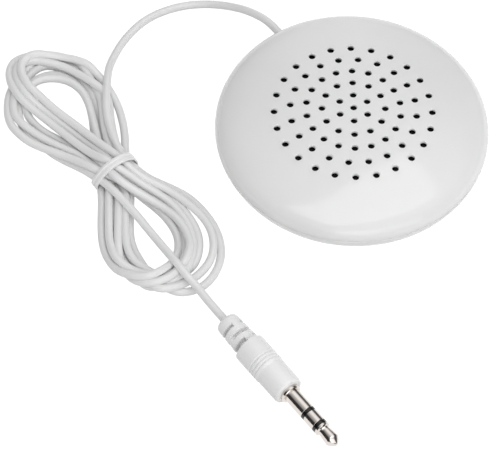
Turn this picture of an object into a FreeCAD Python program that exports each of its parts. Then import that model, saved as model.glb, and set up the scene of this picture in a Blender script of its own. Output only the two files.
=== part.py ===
import FreeCAD, Part
import math
import os

Vector = FreeCAD.Vector

# Housing: a low round pebble of two moulded covers, standing on its flat base at z = 0
disc_diameter = 60.0
disc_height = 15.2
seam_share = 0.487
cover_wall = 1.6
crown_radius = 94.0
shoulder_width = 7.3
shoulder_pull = 4.6
shoulder_rise = 2.8
bowl_width = 11.0
base_pull = 6.0
base_rise = 4.0
parting_groove = 0.2
tongue_height = 1.0
tongue_clearance = 0.1

# Grille: rings of round holes over the crown, one ring turned against the rest
hole_diameter = 1.5
grille_margin = 0.3
ring_counts = (1, 6, 12, 18, 20, 24)
ring_phases = (90.0, 90.0, 90.0, 90.0, 84.0, 90.0)

# Screws from below and the posts they join
screw_inset = 7.0
screw_diameter = 2.2
screw_head_diameter = 4.0
screw_head_height = 1.3
screw_length = 6.4
post_diameter = 4.8
post_meeting_depth = 1.0
head_seat_height = 2.7
screw_clearance = 0.2

# Driver: a small round film driver held in a ring inside the front cover
driver_inset = 10.0
ledge_drop = 0.85
ledge_width = 1.7
rib_width = 1.2
driver_clearance = 0.2
gasket_thickness = 0.6
film_thickness = 0.2
roll_width = 2.8
roll_height = 0.7
cone_depth = 1.1
dome_height = 1.1
basket_thickness = 0.5
window_diameter = 3.6
window_count = 6
yoke_wall = 1.2
yoke_floor = 1.0
yoke_gap = 0.1
plate_lip = 0.2
plate_height = 1.0
coil_gap = 0.25
coil_thickness = 0.7
coil_clearance = 0.35
pad_lip = 0.7
pad_thickness = 1.4
cloth_thickness = 0.25
cloth_clearance = 0.1

# Terminal board under the basket, with two tabs and two wires
board_length = 5.2
board_width = 8.0
board_thickness = 0.8
board_clearance = 0.2
tab_length = 2.2
tab_width = 1.6
tab_thickness = 0.3
tab_spacing = 4.0
wire_diameter = 0.7
wire_spacing = 1.0
wire_clearance = 0.15

# Cord and where it leaves the rim, at the seam
cord_diameter = 1.6
exit_azimuth = 120.5
cord_hole_clearance = 0.15
stop_inset = 3.0
stop_length = 2.2
stop_diameter = 2.8
saddle_width = 7.0
saddle_thickness = 1.0
saddle_clearance = 0.1
saddle_slot = 2.6
saddle_slot_drop = 1.6

# Route of the cord from the rim to the hank, chosen by hand after a first straight run
lead_first_run = 6.2
lead_route = (
    (-21.7, 33.4, 5.6),
    (-26.4, 37.0, 2.9),
    (-32.0, 38.9, 1.1),
    (-38.5, 38.2, 0.8),
    (-45.3, 34.8, 0.8),
    (-50.3, 28.7, 0.8),
    (-53.1, 22.1, 1.3),
    (-53.9, 16.4, 1.9),
)
# Last stretch, from the hank to the plug's sleeve, ending in a straight run
tail_route = ((-34.6, -38.0, 2.1),)
tail_last_run = 5.8
arc_share = 0.45

# Hank: the rest of the cord, seven turns in a flat figure of eight
hank_height = 3.2
upper_outline = (
    (-48.8, -2.1), (-49.5, 8.2), (-54.8, 17.5), (-64.5, 24.3), (-73.0, 24.1),
    (-76.9, 17.9), (-76.8, 8.5), (-72.0, -1.0), (-61.2, -7.0), (-54.4, -12.2), (-47.6, -7.6),
)
upper_opening = (
    (-57.3, 2.8), (-58.9, 11.4), (-62.5, 15.8), (-67.2, 16.8), (-70.1, 15.0), (-66.4, 11.0), (-61.0, 5.6),
)
lower_outline = (
    (-49.6, -5.4), (-39.8, -10.6), (-31.7, -17.9), (-27.5, -28.0), (-31.0, -38.0),
    (-38.0, -40.8), (-48.5, -37.0), (-54.6, -30.0), (-55.5, -20.6), (-56.1, -11.2),
)
lower_opening = (
    (-47.7, -15.4), (-47.7, -27.0), (-43.7, -34.0), (-38.8, -29.8), (-39.6, -22.0),
)
waist_centre = (-51.8, -8.8)
waist_azimuth = 34.5
waist_width = 9.9
waist_height = 4.2
waist_neck_length = 7.0
tie_thickness = 0.7
tie_width = 1.6

# Plug: a moulded stereo plug on its side, its metal pin pointing away from the cord
plug_face = (-14.3, -65.6)
plug_azimuth = -53.0
plug_body_diameter = 7.1
plug_body_length = 14.2
plug_nose_diameter = 6.6
plug_round = 0.9
plug_grip_step = 7.4
plug_groove_places = (7.4, 8.3, 9.2)
plug_groove_width = 0.35
plug_groove_depth = 0.15
sleeve_length = 7.4
sleeve_rear_diameter = 5.2
sleeve_front_diameter = 5.8
sleeve_slot_places = (0.3, 2.5, 4.7)
sleeve_slot_width = 0.6
sleeve_slot_turn = 45.0
sleeve_core_diameter = 3.0
web_width = 1.5
collar_diameter = 4.8
collar_length = 1.0
pin_diameter = 3.5
shaft_length = 5.2
insulator_length = 0.85
contact_length = 2.9
tip_length = 5.2
tip_shoulder = 0.6
tip_neck_diameter = 2.6
tip_bulge_diameter = 3.2
tip_cone_length = 1.45
tip_nose_diameter = 0.7
pin_core_diameters = (2.7, 2.1, 1.5, 0.9)
pin_core_step = 0.7
pin_core_start = 6.5

# Sizes across, worked out from the housing's width
disc_radius = disc_diameter / 2
crown_edge_radius = disc_radius - shoulder_width
base_radius = disc_radius - bowl_width
screw_circle_radius = disc_radius - screw_inset
stop_outer_radius = disc_radius - stop_inset
driver_radius = disc_radius - driver_inset
ring_pitch = (driver_radius - ledge_width - grille_margin - hole_diameter / 2) / (len(ring_counts) - 1)
basket_floor_radius = 0.63 * driver_radius
window_circle_radius = 0.76 * driver_radius
magnet_diameter = 0.55 * driver_radius
plate_diameter = magnet_diameter + 2 * plate_lip
yoke_diameter = plate_diameter + 2 * (coil_gap + coil_thickness + coil_clearance + yoke_wall)
dome_radius = 0.29 * driver_radius
pad_diameter = yoke_diameter - 2 * pad_lip

# Heights, worked out from the housing's height
seam_height = seam_share * disc_height
crown_drop = crown_radius - math.sqrt(crown_radius ** 2 - driver_radius ** 2)
ledge_height = disc_height - crown_drop - cover_wall - ledge_drop
rib_bottom = seam_height + wire_diameter / 2 + wire_clearance
post_meeting_height = seam_height - post_meeting_depth
yoke_bottom = cover_wall + pad_thickness
driver_depth = ledge_height - yoke_bottom
basket_floor_depth = 0.42 * driver_depth
yoke_height = 0.566 * driver_depth
magnet_height = yoke_height - yoke_floor - plate_height - yoke_gap
coil_height = 0.37 * driver_depth

cord_radius = cord_diameter / 2
plug_height = plug_body_diameter / 2


def around(radius, azimuth, height):
    """A point given by its distance from the disc's axis, its azimuth and its height."""
    turn = math.radians(azimuth)
    return Vector(radius * math.cos(turn), radius * math.sin(turn), height)


def in_section(radius, height):
    """A point of a profile that is turned round the disc's axis."""
    return Vector(radius, 0, height)


def line(first, second):
    return Part.LineSegment(first, second).toShape()


def turned(edges):
    """The solid that a closed profile makes when it is turned round the disc's axis."""
    face = Part.Face(Part.Wire(edges))
    return face.revolve(Vector(0, 0, 0), Vector(0, 0, 1), 360)


def turned_polygon(points):
    corners = [in_section(radius, height) for radius, height in points]
    closed = corners + corners[:1]
    return turned([line(a, b) for a, b in zip(closed, closed[1:])])


def cylinder(radius, bottom, top, x=0.0, y=0.0):
    return Part.makeCylinder(radius, top - bottom, Vector(x, y, bottom))


def ring(inner, outer, bottom, top):
    return cylinder(outer, bottom, top).cut(cylinder(inner, bottom, top))


def radial_cylinder(radius, start, end, height):
    """A cylinder that lies along the cord's way out of the rim."""
    direction = around(1, exit_azimuth, 0)
    return Part.makeCylinder(radius, end - start, around(start, exit_azimuth, height), direction)


def radial_box(start, length, width, bottom, thickness, offset=0.0):
    """A box that points along the cord's way out of the rim, offset sideways."""
    box = Part.makeBox(length, width, thickness, Vector(start, offset - width / 2, bottom))
    box.rotate(Vector(0, 0, 0), Vector(0, 0, 1), exit_azimuth)
    return box


def tube(points, radius):
    """A round tube along straight runs, with a tangent arc at each point between them."""
    edges = []
    radii = []
    start = points[0]
    for before, corner, after in zip(points, points[1:], points[2:]):
        to_before = (before - corner).normalize()
        to_after = (after - corner).normalize()
        turn = math.pi - to_before.getAngle(to_after)
        setback = arc_share * min((before - corner).Length, (after - corner).Length)
        bend = setback / math.tan(turn / 2)
        arc_start = corner + to_before * setback
        arc_end = corner + to_after * setback
        inward = (to_before + to_after).normalize()
        middle = corner + inward * (bend / math.cos(turn / 2) - bend)
        edges.append(line(start, arc_start))
        edges.append(Part.Arc(arc_start, middle, arc_end).toShape())
        radii.append(round(bend, 1))
        start = arc_end
    edges.append(line(start, points[-1]))
    path = Part.Wire(edges)
    section = Part.Wire(Part.makeCircle(radius, points[0], points[1] - points[0]))
    solid = path.makePipeShell([section], True, True)
    expected = math.pi * radius ** 2 * path.Length
    print("tube", round(path.Length, 1), "mm, radii", radii, "volume share", round(solid.Volume / expected, 4))
    return solid


def crown_edges(inset):
    """Profile of the front cover's skin, set in from the outside by inset."""
    sphere = crown_radius - inset
    top = disc_height - inset
    slope = math.asin(crown_edge_radius / crown_radius)
    middle = slope / 2
    centre = top - sphere
    arc_middle = in_section(sphere * math.sin(middle), centre + sphere * math.cos(middle))
    arc_end = in_section(sphere * math.sin(slope), centre + sphere * math.cos(slope))
    pull = shoulder_pull - inset / 2
    rim = in_section(disc_radius - inset, seam_height)
    handle = arc_end + in_section(pull * math.cos(slope), -pull * math.sin(slope))
    upright = rim + in_section(0, shoulder_rise - inset / 2)
    shoulder = Part.BezierCurve()
    shoulder.setPoles([arc_end, handle, upright, rim])
    return [Part.Arc(in_section(0, top), arc_middle, arc_end).toShape(), shoulder.toShape()]


def base_edges(inset):
    """Profile of the rear cover's skin, set in from the outside by inset."""
    corner = in_section(base_radius - inset / 2, inset)
    rim = in_section(disc_radius - inset, seam_height)
    bowl = Part.BezierCurve()
    bowl.setPoles([corner, corner + in_section(base_pull, 0), rim - in_section(0, base_rise - inset / 2), rim])
    return [line(in_section(0, inset), corner), bowl.toShape()]


def front_envelope(inset, bottom):
    """What the front cover's skin covers, carried straight down to bottom."""
    reach = disc_radius - inset
    edges = crown_edges(inset)
    edges.append(line(in_section(reach, seam_height), in_section(reach, bottom)))
    edges.append(line(in_section(reach, bottom), in_section(0, bottom)))
    edges.append(line(in_section(0, bottom), in_section(0, disc_height - inset)))
    return turned(edges)


def skin(edges_of, inset_top):
    """A cover's skin: the outer and the inner profile, closed at the seam and the axis."""
    outer = edges_of(0.0)
    inner = edges_of(cover_wall)
    seam = line(in_section(disc_radius, seam_height), in_section(disc_radius - cover_wall, seam_height))
    axis = line(in_section(0, inset_top[0]), in_section(0, inset_top[1]))
    return turned(outer + [seam] + inner[::-1] + [axis])


def parting_ring():
    """The fine groove that shows where the covers meet."""
    deep = disc_radius - parting_groove
    wide = disc_radius + parting_groove
    return turned_polygon((
        (deep, seam_height),
        (wide, seam_height - 2 * parting_groove),
        (wide, seam_height + 2 * parting_groove),
    ))


def grille_holes():
    """The holes of the grille, ring by ring."""
    holes = []
    for index, (count, phase) in enumerate(zip(ring_counts, ring_phases)):
        for step in range(count):
            place = around(index * ring_pitch, phase + 360 * step / count, seam_height)
            holes.append(Part.makeCylinder(hole_diameter / 2, disc_height, place))
    return Part.makeCompound(holes)


def screw_places():
    return [around(screw_circle_radius, exit_azimuth + turn, 0) for turn in (60, 180, 300)]


def cord_hole():
    radius = cord_radius + cord_hole_clearance
    return radial_cylinder(radius, stop_outer_radius - cover_wall, disc_radius + 1, seam_height)


def make_front_cover():
    """Upper moulding: grille crown, shoulder, the ring that holds the driver, three screw bosses."""
    cover = skin(crown_edges, (disc_height - cover_wall, disc_height))
    rib_inner = driver_radius + driver_clearance
    rib_outer = rib_inner + rib_width
    ledge_inner = driver_radius - ledge_width
    inside = ring(rib_inner, rib_outer, rib_bottom, disc_height)
    inside = inside.fuse(ring(ledge_inner, rib_outer, ledge_height, disc_height))
    for place in screw_places():
        boss = cylinder(post_diameter / 2, post_meeting_height, disc_height, place.x, place.y)
        inside = inside.fuse(boss.cut(cylinder(rib_inner, post_meeting_height, ledge_height)))
    cover = cover.fuse(inside.common(front_envelope(cover_wall / 2, post_meeting_height)))
    recess_outer = disc_radius - cover_wall / 2
    recess_top = seam_height + tongue_height + 2 * tongue_clearance
    cover = cover.cut(ring(disc_radius - 2 * cover_wall, recess_outer, seam_height, recess_top))
    for place in screw_places():
        pilot_top = head_seat_height + screw_length
        cover = cover.cut(cylinder(screw_diameter / 2, post_meeting_height, pilot_top, place.x, place.y))
    cover = cover.cut(grille_holes())
    return cover.cut(parting_ring()).cut(cord_hole()).removeSplitter()


def make_rear_cover():
    """Lower moulding: flat base, bowl, tongue at the seam, three screw posts, saddle for the cord stop."""
    cover = skin(base_edges, (cover_wall, 0.0))
    envelope_edges = base_edges(0.0)
    envelope_edges.append(line(in_section(disc_radius, seam_height), in_section(0, seam_height)))
    envelope_edges.append(line(in_section(0, seam_height), in_section(0, 0)))
    envelope = turned(envelope_edges)
    posts = []
    for place in screw_places():
        posts.append(cylinder(post_diameter / 2, cover_wall / 2, post_meeting_height, place.x, place.y))
    saddle_end = stop_outer_radius - stop_length - saddle_clearance
    saddle_height = seam_height - cover_wall / 2
    saddle_start = saddle_end - saddle_thickness
    saddle = radial_box(saddle_start, saddle_thickness, saddle_width, cover_wall / 2, saddle_height)
    slot_bottom = seam_height - saddle_slot_drop
    slot = radial_box(saddle_start, saddle_thickness, saddle_slot, slot_bottom, saddle_slot_drop)
    posts.append(saddle.cut(slot))
    for post in posts:
        cover = cover.fuse(post.common(envelope))
    tongue_outer = disc_radius - cover_wall / 2 - tongue_clearance
    tongue = ring(disc_radius - cover_wall, tongue_outer, seam_height, seam_height + tongue_height)
    cover = cover.fuse(tongue)
    for place in screw_places():
        head_hole = cylinder(screw_head_diameter / 2 + screw_clearance, 0, head_seat_height, place.x, place.y)
        shank_hole = cylinder(screw_diameter / 2 + screw_clearance, 0, post_meeting_height, place.x, place.y)
        cover = cover.cut(head_hole).cut(shank_hole)
    return cover.cut(parting_ring()).cut(cord_hole()).removeSplitter()


def make_cover_screws():
    """Three self-tapping screws, their heads sunk in the base."""
    screws = []
    for place in screw_places():
        head_bottom = head_seat_height - screw_head_height
        head = cylinder(screw_head_diameter / 2, head_bottom, head_seat_height, place.x, place.y)
        tip = head_seat_height + screw_length
        shank = cylinder(screw_diameter / 2, head_seat_height, tip, place.x, place.y)
        drive = cylinder(screw_diameter / 4, head_bottom, head_bottom + screw_head_height / 2, place.x, place.y)
        screws.append(head.fuse(shank).cut(drive))
    return Part.makeCompound(screws)


def make_dust_cloth():
    """Thin dark cloth glued against the inside of the grille."""
    outer_sphere = crown_radius - cover_wall
    inner_sphere = outer_sphere - cloth_thickness
    centre = disc_height - crown_radius
    reach = driver_radius - ledge_width - cloth_clearance
    outer_turn = math.asin(reach / outer_sphere)
    inner_turn = math.asin(reach / inner_sphere)

    def on_sphere(sphere, turn):
        return in_section(sphere * math.sin(turn), centre + sphere * math.cos(turn))

    upper = Part.Arc(
        on_sphere(outer_sphere, 0), on_sphere(outer_sphere, outer_turn / 2), on_sphere(outer_sphere, outer_turn))
    lower = Part.Arc(
        on_sphere(inner_sphere, inner_turn), on_sphere(inner_sphere, inner_turn / 2), on_sphere(inner_sphere, 0))
    side = line(on_sphere(outer_sphere, outer_turn), on_sphere(inner_sphere, inner_turn))
    axis = line(on_sphere(inner_sphere, 0), on_sphere(outer_sphere, 0))
    return turned([upper.toShape(), side, lower.toShape(), axis])


film_top = ledge_height - gasket_thickness
flange_top = film_top - film_thickness
coil_inner_radius = plate_diameter / 2 + coil_gap
coil_outer_radius = coil_inner_radius + coil_thickness
coil_seat = film_top - cone_depth - film_thickness
basket_floor_bottom = flange_top - basket_floor_depth - basket_thickness


def make_driver_gasket():
    """Card ring between the driver's edge and the ledge of the front cover."""
    return ring(driver_radius - ledge_width, driver_radius, film_top, ledge_height)


def film_line(height):
    """One face of the film: dome, flat ring over the coil, cone, half roll and edge."""
    valley = film_top - cone_depth + height
    edge = film_top + height
    flat_end = coil_outer_radius + 0.5 * coil_thickness
    roll_end = driver_radius - ledge_width
    roll_start = roll_end - roll_width
    dome = Part.Arc(
        in_section(0, valley + dome_height),
        in_section(0.6 * dome_radius, valley + 0.68 * dome_height),
        in_section(dome_radius, valley))
    roll = Part.Arc(
        in_section(roll_start, edge),
        in_section((roll_start + roll_end) / 2, edge + roll_height),
        in_section(roll_end, edge))
    return [
        dome.toShape(),
        line(in_section(dome_radius, valley), in_section(flat_end, valley)),
        line(in_section(flat_end, valley), in_section(roll_start, edge)),
        roll.toShape(),
        line(in_section(roll_end, edge), in_section(driver_radius, edge)),
    ]


def make_driver_diaphragm():
    """Clear film pressed in one piece: dome, cone and roll surround."""
    upper = film_line(0.0)
    lower = film_line(-film_thickness)
    rim = line(in_section(driver_radius, film_top), in_section(driver_radius, flange_top))
    crest = film_top - cone_depth + dome_height
    axis = line(in_section(0, crest), in_section(0, crest - film_thickness))
    return turned(upper + [rim] + lower[::-1] + [axis])


def make_voice_coil():
    """Wound copper coil, glued under the film and free in the magnet's gap."""
    return ring(coil_inner_radius, coil_outer_radius, coil_seat - coil_height, coil_seat)


def make_driver_basket():
    """Pressed steel frame: flange, slanted wall with windows, floor round the yoke."""
    flange_inner = driver_radius - ledge_width
    floor_top = flange_top - basket_floor_depth
    upper = (
        (driver_radius, flange_top),
        (flange_inner, flange_top),
        (basket_floor_radius, floor_top),
        (yoke_diameter / 2, floor_top),
    )
    lower = tuple((radius, height - basket_thickness) for radius, height in reversed(upper))
    basket = turned_polygon(upper + lower)
    for step in range(window_count):
        place = around(window_circle_radius, exit_azimuth + 360 * (step + 0.5) / window_count, 0)
        basket = basket.cut(cylinder(window_diameter / 2, 0, disc_height, place.x, place.y))
    return basket


def make_driver_yoke():
    """Turned steel cup round the magnet."""
    outer = yoke_diameter / 2
    cup = cylinder(outer, yoke_bottom, yoke_bottom + yoke_height)
    return cup.cut(cylinder(outer - yoke_wall, yoke_bottom + yoke_floor, yoke_bottom + yoke_height))


def make_driver_magnet():
    bottom = yoke_bottom + yoke_floor
    return cylinder(magnet_diameter / 2, bottom, bottom + magnet_height)


def make_pole_plate():
    bottom = yoke_bottom + yoke_floor + magnet_height
    return cylinder(plate_diameter / 2, bottom, bottom + plate_height)


def make_backing_pad():
    """Foam disc that presses the driver up against its ledge."""
    return cylinder(pad_diameter / 2, cover_wall, yoke_bottom)


board_start = yoke_diameter / 2 + board_clearance
board_bottom = basket_floor_bottom - board_thickness
tab_start = board_start + board_length - 1.4 * tab_length


def make_terminal_board():
    """Small board under the basket's floor, on the side of the cord."""
    return radial_box(board_start, board_length, board_width, board_bottom, board_thickness)


def make_solder_tabs():
    """Two tabs that carry the cord's wires on to the coil."""
    tabs = []
    for offset in (-tab_spacing / 2, tab_spacing / 2):
        bottom = board_bottom - tab_thickness
        tabs.append(radial_box(tab_start, tab_length, tab_width, bottom, tab_thickness, offset))
    return Part.makeCompound(tabs)


def make_lead_wire(side):
    """One insulated wire from the cord stop to its tab; side is -1 or 1."""
    wire_end_height = board_bottom - tab_thickness - wire_diameter / 2
    inner_face = stop_outer_radius - stop_length
    places = (
        (inner_face, side * wire_spacing / 2, seam_height),
        (inner_face - tab_length, side * wire_spacing / 2, seam_height),
        (tab_start + 2 * tab_length, side * tab_spacing / 2, wire_end_height),
        (tab_start, side * tab_spacing / 2, wire_end_height),
    )
    turn = FreeCAD.Rotation(Vector(0, 0, 1), exit_azimuth)
    return tube([turn.multVec(Vector(*place)) for place in places], wire_diameter / 2)


def make_cord_stop():
    """Moulded collar on the cord, trapped between the rim and the saddle."""
    inner_face = stop_outer_radius - stop_length
    return radial_cylinder(stop_diameter / 2, inner_face, stop_outer_radius, seam_height)


plug_direction = around(1, plug_azimuth, 0)
plug_origin = Vector(plug_face[0], plug_face[1], plug_height)


def on_plug_axis(place):
    return plug_origin + plug_direction * place


def turned_on_plug(profile):
    """A solid turned round the plug's axis, from (place along it, diameter) pairs."""
    places = [place for place, _ in profile]
    corners = [Vector(place, 0, diameter / 2) for place, diameter in profile]
    corners.append(Vector(places[-1], 0, 0))
    corners.append(Vector(places[0], 0, 0))
    closed = corners + corners[:1]
    edges = [line(a, b) for a, b in zip(closed, closed[1:]) if (a - b).Length > 1e-6]
    solid = Part.Face(Part.Wire(edges)).revolve(Vector(0, 0, 0), Vector(1, 0, 0), 360)
    solid.rotate(Vector(0, 0, 0), Vector(0, 0, 1), plug_azimuth)
    solid.translate(plug_origin)
    return solid


def plug_ring(start, end, outer_diameter, inner_diameter):
    outer = turned_on_plug(((start, outer_diameter), (end, outer_diameter)))
    return outer.cut(turned_on_plug(((start, inner_diameter), (end, inner_diameter))))


body_front = -collar_length
body_rear = body_front - plug_body_length
sleeve_rear = body_rear - sleeve_length


def make_jack_pieces():
    """The pin's pieces, nested in one another round the tip's rod."""
    first = shaft_length
    second = first + insulator_length
    third = second + contact_length
    fourth = third + insulator_length
    end = fourth + tip_length
    cores = pin_core_diameters
    starts = [-pin_core_start - step * pin_core_step for step in range(5)]
    shaft = turned_on_plug((
        (starts[0], collar_diameter - collar_length),
        (-collar_length, collar_diameter - collar_length),
        (-collar_length, collar_diameter),
        (0, collar_diameter),
        (0, pin_diameter),
        (first, pin_diameter),
    ))
    shaft = shaft.cut(turned_on_plug(((starts[0], cores[0]), (first, cores[0]))))
    rear_insulator = plug_ring(first, second, pin_diameter, cores[1])
    rear_insulator = rear_insulator.fuse(plug_ring(starts[1], first, cores[0], cores[1]))
    contact = plug_ring(second, third, pin_diameter, cores[2])
    contact = contact.fuse(plug_ring(starts[2], second, cores[1], cores[2]))
    front_insulator = plug_ring(third, fourth, pin_diameter, cores[3])
    front_insulator = front_insulator.fuse(plug_ring(starts[3], third, cores[2], cores[3]))
    tip = turned_on_plug((
        (starts[4], cores[3]),
        (fourth, cores[3]),
        (fourth, pin_diameter),
        (fourth + tip_shoulder, pin_diameter),
        (fourth + tip_shoulder + 0.3, tip_neck_diameter),
        (end - tip_cone_length, tip_bulge_diameter),
        (end - 0.5 * tip_nose_diameter, 1.4 * tip_nose_diameter),
        (end, 0.4 * tip_nose_diameter),
    ))
    return {
        "jack_shaft": shaft,
        "jack_insulator_rear": rear_insulator,
        "jack_contact_ring": contact,
        "jack_insulator_front": front_insulator,
        "jack_tip": tip,
    }


def flex_slot(place, turn):
    """A ring cut of the flexible sleeve that leaves four webs, turned by turn."""
    slot = plug_ring(place, place + sleeve_slot_width, 2 * sleeve_front_diameter, sleeve_core_diameter)
    reach = 2 * sleeve_front_diameter
    for step in range(2):
        web = Part.makeBox(sleeve_slot_width, reach, web_width, Vector(place, -reach / 2, -web_width / 2))
        web.rotate(Vector(0, 0, 0), Vector(1, 0, 0), turn + 90 * step)
        web.rotate(Vector(0, 0, 0), Vector(0, 0, 1), plug_azimuth)
        web.translate(plug_origin)
        slot = slot.cut(web)
    return slot


def make_plug_overmould(jack_pieces):
    """White moulding round the pin: grip body, fine grooves and slotted flexible sleeve."""
    body = turned_on_plug((
        (sleeve_rear, sleeve_rear_diameter - 2 * plug_round),
        (sleeve_rear + plug_round, sleeve_rear_diameter),
        (body_rear, sleeve_front_diameter),
        (body_rear + plug_round, plug_body_diameter),
        (body_front - plug_grip_step, plug_body_diameter),
        (body_front - plug_round, plug_nose_diameter),
        (body_front, plug_nose_diameter - 2 * plug_round),
    ))
    for place in plug_groove_places:
        start = body_front - place
        inner = plug_body_diameter - 2 * plug_groove_depth
        body = body.cut(plug_ring(start, start + plug_groove_width, 2 * plug_body_diameter, inner))
    for index, place in enumerate(sleeve_slot_places):
        turn = sleeve_slot_turn * (index % 2 + 1)
        body = body.cut(flex_slot(body_rear - place - sleeve_slot_width, turn))
    for piece in jack_pieces.values():
        body = body.cut(piece)
    return body


def make_cord_lead():
    radii = (stop_outer_radius, stop_outer_radius + lead_first_run)
    points = [around(radius, exit_azimuth, seam_height) for radius in radii]
    points += [Vector(*place) for place in lead_route]
    return tube(points, cord_radius)


def make_cord_tail():
    points = [Vector(*place) for place in tail_route]
    points += [on_plug_axis(sleeve_rear - tail_last_run), on_plug_axis(sleeve_rear)]
    return tube(points, cord_radius)


def slab(outline, height):
    """A flat block with a smooth closed outline."""
    curve = Part.BSplineCurve()
    curve.interpolate([Vector(x, y, 0) for x, y in outline], True)
    return Part.Face(Part.Wire(curve.toShape())).extrude(Vector(0, 0, height))


def waist_block(width, height, length, bottom):
    """A block with round sides across the hank's waist."""
    radius = min(0.45 * height, 0.45 * width)
    block = Part.makeBox(width, length, height, Vector(-width / 2, -length / 2, bottom))
    long_edges = [edge for edge in block.Edges if abs(edge.tangentAt(0).y) > 0.9]
    block = block.makeFillet(radius, long_edges)
    block.rotate(Vector(0, 0, 0), Vector(0, 0, 1), waist_azimuth)
    block.translate(Vector(waist_centre[0], waist_centre[1], 0))
    return block


def make_hank_tie():
    """Soft band round the hank's waist."""
    outer = waist_block(waist_width + 2 * tie_thickness, waist_height + 2 * tie_thickness, tie_width, 0)
    return outer.cut(waist_block(waist_width, waist_height, tie_width, tie_thickness))


def make_cord_hank(lead, tail):
    """Outer shape of the wound cord: two open lobes and the neck inside the tie."""
    upper = slab(upper_outline, hank_height).cut(slab(upper_opening, hank_height))
    lower = slab(lower_outline, hank_height).cut(slab(lower_opening, hank_height))
    lobes = upper.fuse(lower)
    room = Part.makeBox(4 * waist_width, tie_width, 4 * waist_height, Vector(-2 * waist_width, -tie_width / 2, 0))
    room.rotate(Vector(0, 0, 0), Vector(0, 0, 1), waist_azimuth)
    room.translate(Vector(waist_centre[0], waist_centre[1], 0))
    neck = waist_block(waist_width, waist_height, waist_neck_length, tie_thickness)
    return lobes.cut(room).fuse(neck).cut(lead).cut(tail)


def make_parts():
    parts = {
        "front_cover": make_front_cover(),
        "rear_cover": make_rear_cover(),
        "cover_screws": make_cover_screws(),
        "dust_cloth": make_dust_cloth(),
        "driver_gasket": make_driver_gasket(),
        "driver_diaphragm": make_driver_diaphragm(),
        "voice_coil": make_voice_coil(),
        "driver_basket": make_driver_basket(),
        "driver_yoke": make_driver_yoke(),
        "driver_magnet": make_driver_magnet(),
        "pole_plate": make_pole_plate(),
        "backing_pad": make_backing_pad(),
        "terminal_board": make_terminal_board(),
        "solder_tabs": make_solder_tabs(),
        "lead_wire_left": make_lead_wire(-1),
        "lead_wire_right": make_lead_wire(1),
        "cord_stop": make_cord_stop(),
        "cord_lead": make_cord_lead(),
        "cord_tail": make_cord_tail(),
        "hank_tie": make_hank_tie(),
    }
    parts["cord_hank"] = make_cord_hank(parts["cord_lead"], parts["cord_tail"])
    jack_pieces = make_jack_pieces()
    parts.update(jack_pieces)
    parts["plug_overmould"] = make_plug_overmould(jack_pieces)
    return parts


os.makedirs("parts", exist_ok=True)
for name, shape in make_parts().items():
    solids = len(shape.Solids)
    print(name, "solids", solids, "valid", shape.isValid(), "volume", round(shape.Volume, 2))
    shape.exportStep("parts/" + name + ".step")
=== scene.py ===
import math

import bmesh
import bpy
import numpy as np
from mathutils import Matrix, Vector


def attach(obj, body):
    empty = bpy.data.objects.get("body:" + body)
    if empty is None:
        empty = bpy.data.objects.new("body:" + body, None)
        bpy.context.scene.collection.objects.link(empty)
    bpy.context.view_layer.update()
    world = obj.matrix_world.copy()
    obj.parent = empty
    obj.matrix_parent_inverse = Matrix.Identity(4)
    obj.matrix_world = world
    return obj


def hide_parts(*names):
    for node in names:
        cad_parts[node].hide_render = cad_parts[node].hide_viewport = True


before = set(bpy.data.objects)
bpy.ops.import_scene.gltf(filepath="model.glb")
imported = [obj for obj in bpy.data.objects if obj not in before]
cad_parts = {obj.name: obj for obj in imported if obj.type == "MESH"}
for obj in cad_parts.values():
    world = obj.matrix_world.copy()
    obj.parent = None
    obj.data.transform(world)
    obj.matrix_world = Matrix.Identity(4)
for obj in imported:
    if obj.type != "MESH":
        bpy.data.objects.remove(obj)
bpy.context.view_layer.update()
MM = 0.001

# Camera: a long lens that looks down on the object from the front, turned a little on its own axis.
# Its angles and its place were fitted to the grille's rings of holes.
LOOK_DOWN = math.radians(56.30)
CAMERA_ROLL = math.radians(-2.65)
GRILLE_TURN = math.radians(2.9)
CAMERA_PLACE = Vector((-42.8, -402.39, 573.25)) * MM
LENS_IN_PIXELS = 3171.0
PICTURE_WIDTH_IN_PIXELS = 490
SENSOR_WIDTH = 36.0

level_right = Vector((1, 0, 0))
level_up = Vector((0, math.sin(LOOK_DOWN), math.cos(LOOK_DOWN)))
backward = Vector((0, -math.cos(LOOK_DOWN), math.sin(LOOK_DOWN)))
camera_right = math.cos(CAMERA_ROLL) * level_right - math.sin(CAMERA_ROLL) * level_up
camera_up = math.sin(CAMERA_ROLL) * level_right + math.cos(CAMERA_ROLL) * level_up
axes = Matrix((camera_right, camera_up, backward)).transposed()
facing = Matrix.Rotation(-GRILLE_TURN, 3, "Z") @ axes

camera_data = bpy.data.cameras.new("camera")
camera_data.sensor_width = SENSOR_WIDTH
camera_data.lens = LENS_IN_PIXELS / PICTURE_WIDTH_IN_PIXELS * SENSOR_WIDTH
camera_data.clip_start = 0.05
camera = bpy.data.objects.new("camera", camera_data)
camera.matrix_world = Matrix.Translation(CAMERA_PLACE) @ facing.to_4x4()
bpy.context.scene.collection.objects.link(camera)
bpy.context.scene.camera = camera
bpy.context.scene.view_settings.view_transform = "Standard"

# Floor: a plain white sheet, a hair below the base so that the two never share a plane.
# The camera and polished surfaces see it as white paper. Other rays meet a pale grey,
# so that the undersides of round white pieces stay shaded.
FLOOR_RADIUS = 3.0
FLOOR_DROP = 0.2
GLOW_SHARE = 0.82
GLOW_STRENGTH = 1.35


def linear(hex_colour):
    """An sRGB hex colour as linear values with an alpha of 1."""
    channels = [int(hex_colour[place:place + 2], 16) / 255 for place in (1, 3, 5)]
    colour = [value / 12.92 if value <= 0.04045 else ((value + 0.055) / 1.055) ** 2.4 for value in channels]
    return colour + [1.0]


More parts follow.
